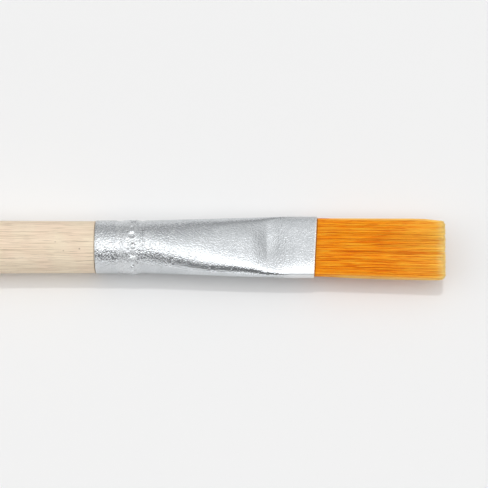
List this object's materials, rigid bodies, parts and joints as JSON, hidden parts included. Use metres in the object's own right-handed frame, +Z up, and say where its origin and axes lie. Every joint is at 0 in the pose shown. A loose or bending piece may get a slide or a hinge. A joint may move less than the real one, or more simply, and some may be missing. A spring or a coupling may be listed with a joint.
{
  "type": "flat paint brush",
  "caption": "Flat paint brush with a bare wooden handle, a crimped aluminium ferrule pressed flat towards its mouth, and a straight-ended tuft of orange nylon filaments.",
  "frame": {"origin": "on the surface that the brush lies on, under the middle of its overall length", "axes": "+X along the brush towards the bristle tips, +Y across the flat of the tuft, +Z up, square to the flat faces of the ferrule"},
  "size_m": [0.224, 0.0132, 0.0118],
  "materials": {
    "bare_wood": "bare sanded pale wood with fine grain along the handle",
    "ferrule_aluminium": "drawn aluminium, dull bright with a fine mottle",
    "set_epoxy": "set amber epoxy, hidden inside the ferrule",
    "orange_nylon": "satin orange nylon filaments with paler golden tips"
  },
  "bodies": {
    "root": {"handle": "bare_wood", "ferrule": "ferrule_aluminium", "epoxy_plug": "set_epoxy", "bristle_tuft": "orange_nylon"}
  },
  "joints": []
}
